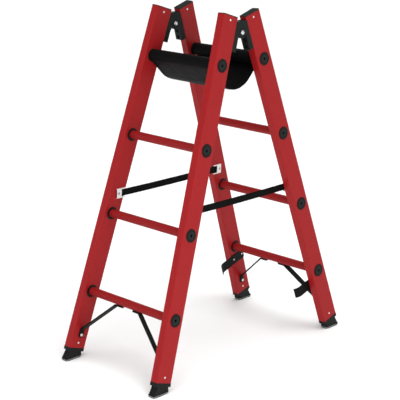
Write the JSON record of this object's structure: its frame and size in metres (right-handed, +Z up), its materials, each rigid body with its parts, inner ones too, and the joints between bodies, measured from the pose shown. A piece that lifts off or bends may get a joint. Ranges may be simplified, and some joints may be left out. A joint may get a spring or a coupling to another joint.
{
  "type": "step ladder",
  "caption": "Double-sided rung step ladder with flared red glass-fibre rails, pinned black hinges, restraint straps, corner braces, closing clips and a sling tool tray.",
  "frame": {"origin": "centre of the ladder's footprint, on the floor", "axes": "+X along the rungs, to the right when looking along +Y from the front; +Y from the front side towards the rear side; +Z up"},
  "size_m": [0.4714, 0.9452, 1.2054],
  "materials": {
    "grp_rail": "pultruded glass fibre, satin red",
    "grp_rung": "pultruded glass fibre, finely ribbed, red",
    "bush_plastic": "moulded nylon",
    "cap_plastic": "moulded plastic",
    "shoe_plastic": "moulded plastic",
    "sole_rubber": "moulded rubber",
    "hinge_black": "glass-filled nylon",
    "pin_steel": "turned",
    "rivet_aluminium": "pull rivet",
    "clip_aluminium": "rolled",
    "webbing": "woven polyester webbing",
    "black_steel": "black powder coat",
    "zinc_steel": "zinc plated",
    "tray_fabric": "coated black fabric"
  },
  "bodies": {
    "front_frame": {"front_rail_left": "grp_rail", "front_rail_right": "grp_rail", "front_rung_1": "grp_rung", "front_rung_2": "grp_rung", "front_rung_3": "grp_rung", "front_rung_4": "grp_rung", "front_rung_bushes": "bush_plastic", "front_rung_plugs": "cap_plastic", "front_end_caps": "cap_plastic", "front_shoe_left": "shoe_plastic", "front_shoe_right": "shoe_plastic", "front_sole_left": "sole_rubber", "front_sole_right": "sole_rubber", "front_end_rivets": "rivet_aluminium", "front_hinge_leaf_left": "hinge_black", "front_hinge_leaf_right": "hinge_black", "hinge_pin_left": "pin_steel", "hinge_pin_right": "pin_steel", "hinge_pin_retainers": "pin_steel", "front_hinge_bolts": "black_steel", "front_hinge_nuts": "zinc_steel", "front_brace_left": "black_steel", "front_brace_right": "black_steel", "front_brace_bolts": "zinc_steel", "front_brace_nuts": "zinc_steel", "front_brace_screws": "zinc_steel", "front_strap_clips": "clip_aluminium", "front_strap_rivets": "rivet_aluminium", "strap_left": "webbing", "strap_right": "webbing", "tool_tray": "tray_fabric"},
    "rear_frame": {"rear_rail_left": "grp_rail", "rear_rail_right": "grp_rail", "rear_rung_1": "grp_rung", "rear_rung_2": "grp_rung", "rear_rung_3": "grp_rung", "rear_rung_4": "grp_rung", "rear_rung_bushes": "bush_plastic", "rear_rung_plugs": "cap_plastic", "rear_end_caps": "cap_plastic", "rear_shoe_left": "shoe_plastic", "rear_shoe_right": "shoe_plastic", "rear_sole_left": "sole_rubber", "rear_sole_right": "sole_rubber", "rear_end_rivets": "rivet_aluminium", "rear_hinge_leaf_left": "hinge_black", "rear_hinge_leaf_right": "hinge_black", "rear_hinge_bolts": "black_steel", "rear_hinge_nuts": "zinc_steel", "rear_brace_left": "black_steel", "rear_brace_right": "black_steel", "rear_brace_bolts": "zinc_steel", "rear_brace_nuts": "zinc_steel", "rear_brace_screws": "zinc_steel", "rear_strap_clips": "clip_aluminium", "rear_strap_rivets": "rivet_aluminium", "closing_clip_left": "black_steel", "closing_clip_right": "black_steel", "closing_clip_rivets": "rivet_aluminium"}
  },
  "joints": [
    {"name": "fold", "type": "hinge", "parent": "front_frame", "child": "rear_frame", "pos_m": [0, 0, 1.13306], "axis": [-1, 0, 0], "range_deg": [0, 38], "deforming": ["strap_left", "strap_right", "tool_tray"]}
  ]
}
